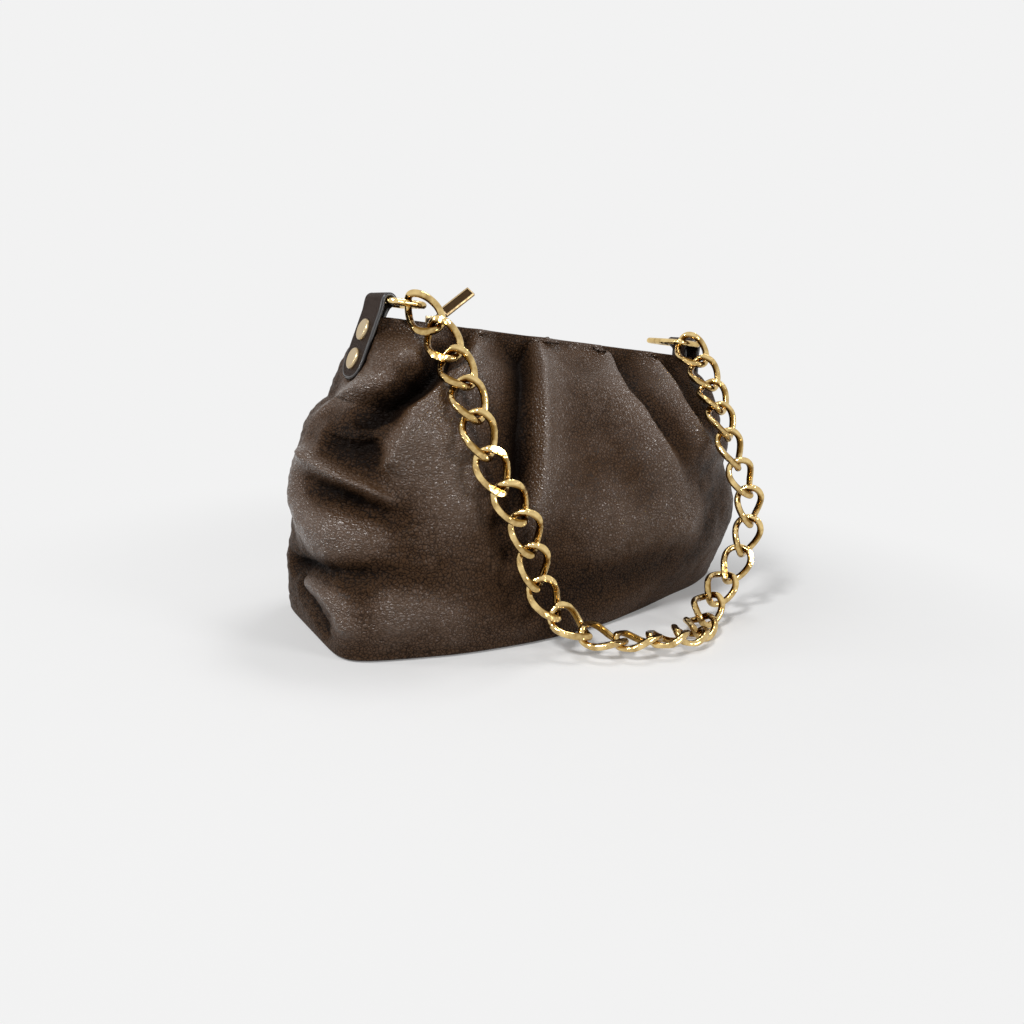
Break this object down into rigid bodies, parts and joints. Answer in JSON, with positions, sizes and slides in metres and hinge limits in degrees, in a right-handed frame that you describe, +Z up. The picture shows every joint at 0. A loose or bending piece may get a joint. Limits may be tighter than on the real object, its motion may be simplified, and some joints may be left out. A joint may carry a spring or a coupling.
{
  "type": "chain shoulder bag",
  "caption": "Soft gathered leather shoulder bag with a zipped mouth, riveted ring tabs and a short curb-chain strap that drapes over its front.",
  "frame": {"origin": "centre of the base's underside, on the surface that the bag stands on", "axes": "+X along the bag towards its slouched right end as seen from the front, -Y towards the front that the chain hangs over, +Z up"},
  "size_m": [0.2978, 0.1737, 0.1817],
  "materials": {
    "leather": "pebbled, oiled sheen",
    "base_leather": "pebbled, matte",
    "edge_leather": "smooth with painted edges",
    "board": "stiff fibre board",
    "lining": "woven textile",
    "tape": "woven zip tape",
    "zip_metal": "antique",
    "antique_brass": "brushed antique",
    "gold": "polished light gold"
  },
  "bodies": {
    "bag": {"front_panel": "leather", "back_panel": "leather", "base_panel": "base_leather", "base_board": "board", "lining": "lining", "zip_facing_front": "leather", "zip_facing_back": "leather", "zip_tape_front": "tape", "zip_tape_back": "tape", "zip_teeth_front": "zip_metal", "zip_teeth_back": "zip_metal", "zip_stops": "zip_metal", "left_tab": "edge_leather", "right_tab": "edge_leather", "left_rivet_caps": "antique_brass", "right_rivet_caps": "antique_brass", "left_rivet_posts": "antique_brass", "right_rivet_posts": "antique_brass", "left_ring": "gold", "right_ring": "gold"},
    "slider": {"zip_slider": "zip_metal"},
    "puller": {"zip_pull_neck": "edge_leather", "zip_pull_bar": "antique_brass"},
    "link_01": {"chain_link_01": "gold"},
    "link_02": {"chain_link_02": "gold"},
    "link_03": {"chain_link_03": "gold"},
    "link_04": {"chain_link_04": "gold"},
    "link_05": {"chain_link_05": "gold"},
    "link_06": {"chain_link_06": "gold"},
    "link_07": {"chain_link_07": "gold"},
    "link_08": {"chain_link_08": "gold"},
    "link_09": {"chain_link_09": "gold"},
    "link_10": {"chain_link_10": "gold"},
    "link_11": {"chain_link_11": "gold"},
    "link_12": {"chain_link_12": "gold"},
    "link_13": {"chain_link_13": "gold", "chain_link_14": "gold"},
    "link_27": {"chain_link_27": "gold"},
    "link_26": {"chain_link_26": "gold"},
    "link_25": {"chain_link_25": "gold"},
    "link_24": {"chain_link_24": "gold"},
    "link_23": {"chain_link_23": "gold"},
    "link_22": {"chain_link_22": "gold"},
    "link_21": {"chain_link_21": "gold"},
    "link_20": {"chain_link_20": "gold"},
    "link_19": {"chain_link_19": "gold"},
    "link_18": {"chain_link_18": "gold"},
    "link_17": {"chain_link_17": "gold"},
    "link_16": {"chain_link_16": "gold"},
    "link_15": {"chain_link_15": "gold"}
  },
  "joints": [
    {"name": "zip_slide", "type": "slide", "parent": "bag", "child": "slider", "axis": [0.9973, 0, -0.0732], "range_m": [0, 0.13]},
    {"name": "zip_pull_hinge", "type": "hinge", "parent": "slider", "child": "puller", "pos_m": [-0.07451, 0, 0.16356], "axis": [0, -1, 0], "range_deg": [-38, 75]},
    {"name": "chain_lift", "type": "hinge", "parent": "bag", "child": "link_01", "pos_m": [-0.09235, -0.0145, 0.17189], "axis": [-0.9973, 0, 0.0732], "range_deg": [0, 132.02]},
    {"name": "chain_joint_02", "type": "hinge", "parent": "link_01", "child": "link_02", "pos_m": [-0.08612, -0.02557, 0.16143], "axis": [-0.9973, 0, 0.0732], "range_deg": [-1, 9.97]},
    {"name": "chain_joint_03", "type": "hinge", "parent": "link_02", "child": "link_03", "pos_m": [-0.08315, -0.0382, 0.14811], "axis": [-0.9973, 0, 0.0732], "range_deg": [-10.01, 1]},
    {"name": "chain_joint_04", "type": "hinge", "parent": "link_03", "child": "link_04", "pos_m": [-0.08258, -0.05176, 0.13539], "axis": [-0.9973, 0, 0.0732], "range_deg": [-1, 10.04]},
    {"name": "chain_joint_05", "type": "hinge", "parent": "link_04", "child": "link_05", "pos_m": [-0.08234, -0.06318, 0.12071], "axis": [-0.9973, 0, 0.0732], "range_deg": [-1, 15.01]},
    {"name": "chain_joint_06", "type": "hinge", "parent": "link_05", "child": "link_06", "pos_m": [-0.07962, -0.07057, 0.10386], "axis": [-0.9973, 0, 0.0732], "range_deg": [-1, 14.07]},
    {"name": "chain_joint_07", "type": "hinge", "parent": "link_06", "child": "link_07", "pos_m": [-0.07122, -0.07358, 0.08754], "axis": [-0.9973, 0, 0.0732], "range_deg": [-1, 9.97]},
    {"name": "chain_joint_08", "type": "hinge", "parent": "link_07", "child": "link_08", "pos_m": [-0.05968, -0.07452, 0.07299], "axis": [-0.9973, 0, 0.0732], "range_deg": [-1, 9.51]},
    {"name": "chain_joint_09", "type": "hinge", "parent": "link_08", "child": "link_09", "pos_m": [-0.05343, -0.07495, 0.05547], "axis": [-0.9973, 0, 0.0732], "range_deg": [-9.51, 1]},
    {"name": "chain_joint_10", "type": "hinge", "parent": "link_09", "child": "link_10", "pos_m": [-0.04969, -0.07618, 0.03729], "axis": [-0.9973, 0, 0.0732], "range_deg": [-16.02, 1]},
    {"name": "chain_joint_11", "type": "hinge", "parent": "link_10", "child": "link_11", "pos_m": [-0.04066, -0.08124, 0.02184], "axis": [-0.9973, 0, 0.0732], "range_deg": [-26.05, 1]},
    {"name": "chain_joint_12", "type": "hinge", "parent": "link_11", "child": "link_12", "pos_m": [-0.02765, -0.08998, 0.01182], "axis": [-0.9973, 0, 0.0732], "range_deg": [-33.98, 1]},
    {"name": "chain_joint_13", "type": "hinge", "parent": "link_12", "child": "link_13", "pos_m": [-0.01189, -0.09929, 0.0085], "axis": [-0.9973, 0, 0.0732], "range_deg": [-27.03, 1]},
    {"name": "chain_joint_27", "type": "hinge", "parent": "bag", "child": "link_27", "pos_m": [0.09535, -0.0145, 0.15811], "axis": [-0.9973, 0, 0.0732], "range_deg": [-1, 133.02]},
    {"name": "chain_joint_26", "type": "hinge", "parent": "link_27", "child": "link_26", "pos_m": [0.09637, -0.02664, 0.14706], "axis": [-0.9973, 0, 0.0732], "range_deg": [-1, 9.97]},
    {"name": "chain_joint_25", "type": "hinge", "parent": "link_26", "child": "link_25", "pos_m": [0.09389, -0.03953, 0.13387], "axis": [-0.9973, 0, 0.0732], "range_deg": [-10.01, 1]},
    {"name": "chain_joint_24", "type": "hinge", "parent": "link_25", "child": "link_24", "pos_m": [0.08924, -0.05285, 0.12176], "axis": [-0.9973, 0, 0.0732], "range_deg": [-1, 10.04]},
    {"name": "chain_joint_23", "type": "hinge", "parent": "link_24", "child": "link_23", "pos_m": [0.08667, -0.06426, 0.1073], "axis": [-0.9973, 0, 0.0732], "range_deg": [-1, 15.01]},
    {"name": "chain_joint_22", "type": "hinge", "parent": "link_23", "child": "link_22", "pos_m": [0.09015, -0.07158, 0.09055], "axis": [-0.9973, 0, 0.0732], "range_deg": [-1, 14.07]},
    {"name": "chain_joint_21", "type": "hinge", "parent": "link_22", "child": "link_21", "pos_m": [0.09953, -0.07448, 0.07476], "axis": [-0.9973, 0, 0.0732], "range_deg": [-1, 9.97]},
    {"name": "chain_joint_20", "type": "hinge", "parent": "link_21", "child": "link_20", "pos_m": [0.10251, -0.07572, 0.05644], "axis": [-0.9973, 0, 0.0732], "range_deg": [-1, 9.51]},
    {"name": "chain_joint_19", "type": "hinge", "parent": "link_20", "child": "link_19", "pos_m": [0.09799, -0.07618, 0.03841], "axis": [-0.9973, 0, 0.0732], "range_deg": [-9.51, 1]},
    {"name": "chain_joint_18", "type": "hinge", "parent": "link_19", "child": "link_18", "pos_m": [0.08656, -0.07724, 0.02377], "axis": [-0.9973, 0, 0.0732], "range_deg": [-16.02, 1]},
    {"name": "chain_joint_17", "type": "hinge", "parent": "link_18", "child": "link_17", "pos_m": [0.07082, -0.0808, 0.01452], "axis": [-0.9973, 0, 0.0732], "range_deg": [-26.05, 1]},
    {"name": "chain_joint_16", "type": "hinge", "parent": "link_17", "child": "link_16", "pos_m": [0.05632, -0.0894, 0.00666], "axis": [-0.9973, 0, 0.0732], "range_deg": [-33.98, 1]},
    {"name": "chain_joint_15", "type": "hinge", "parent": "link_16", "child": "link_15", "pos_m": [0.04152, -0.10057, 0.00516], "axis": [-0.9973, 0, 0.0732], "range_deg": [-27.03, 1]}
  ],
  "couplings": [
    {"joint": "chain_joint_02", "follows": "chain_lift", "ratio": 0.067935},
    {"joint": "chain_joint_03", "follows": "chain_lift", "ratio": -0.068279},
    {"joint": "chain_joint_04", "follows": "chain_lift", "ratio": 0.068447},
    {"joint": "chain_joint_05", "follows": "chain_lift", "ratio": 0.10612},
    {"joint": "chain_joint_06", "follows": "chain_lift", "ratio": 0.099026},
    {"joint": "chain_joint_07", "follows": "chain_lift", "ratio": 0.067931},
    {"joint": "chain_joint_08", "follows": "chain_lift", "ratio": 0.064442},
    {"joint": "chain_joint_09", "follows": "chain_lift", "ratio": -0.064442},
    {"joint": "chain_joint_10", "follows": "chain_lift", "ratio": -0.11376},
    {"joint": "chain_joint_11", "follows": "chain_lift", "ratio": -0.18978},
    {"joint": "chain_joint_12", "follows": "chain_lift", "ratio": -0.24979},
    {"joint": "chain_joint_13", "follows": "chain_lift", "ratio": -0.19715},
    {"joint": "chain_joint_27", "follows": "chain_lift", "ratio": 1},
    {"joint": "chain_joint_26", "follows": "chain_lift", "ratio": 0.067935},
    {"joint": "chain_joint_25", "follows": "chain_lift", "ratio": -0.068279},
    {"joint": "chain_joint_24", "follows": "chain_lift", "ratio": 0.068447},
    {"joint": "chain_joint_23", "follows": "chain_lift", "ratio": 0.10612},
    {"joint": "chain_joint_22", "follows": "chain_lift", "ratio": 0.099026},
    {"joint": "chain_joint_21", "follows": "chain_lift", "ratio": 0.067931},
    {"joint": "chain_joint_20", "follows": "chain_lift", "ratio": 0.064442},
    {"joint": "chain_joint_19", "follows": "chain_lift", "ratio": -0.064442},
    {"joint": "chain_joint_18", "follows": "chain_lift", "ratio": -0.11376},
    {"joint": "chain_joint_17", "follows": "chain_lift", "ratio": -0.18978},
    {"joint": "chain_joint_16", "follows": "chain_lift", "ratio": -0.24979},
    {"joint": "chain_joint_15", "follows": "chain_lift", "ratio": -0.19715}
  ]
}
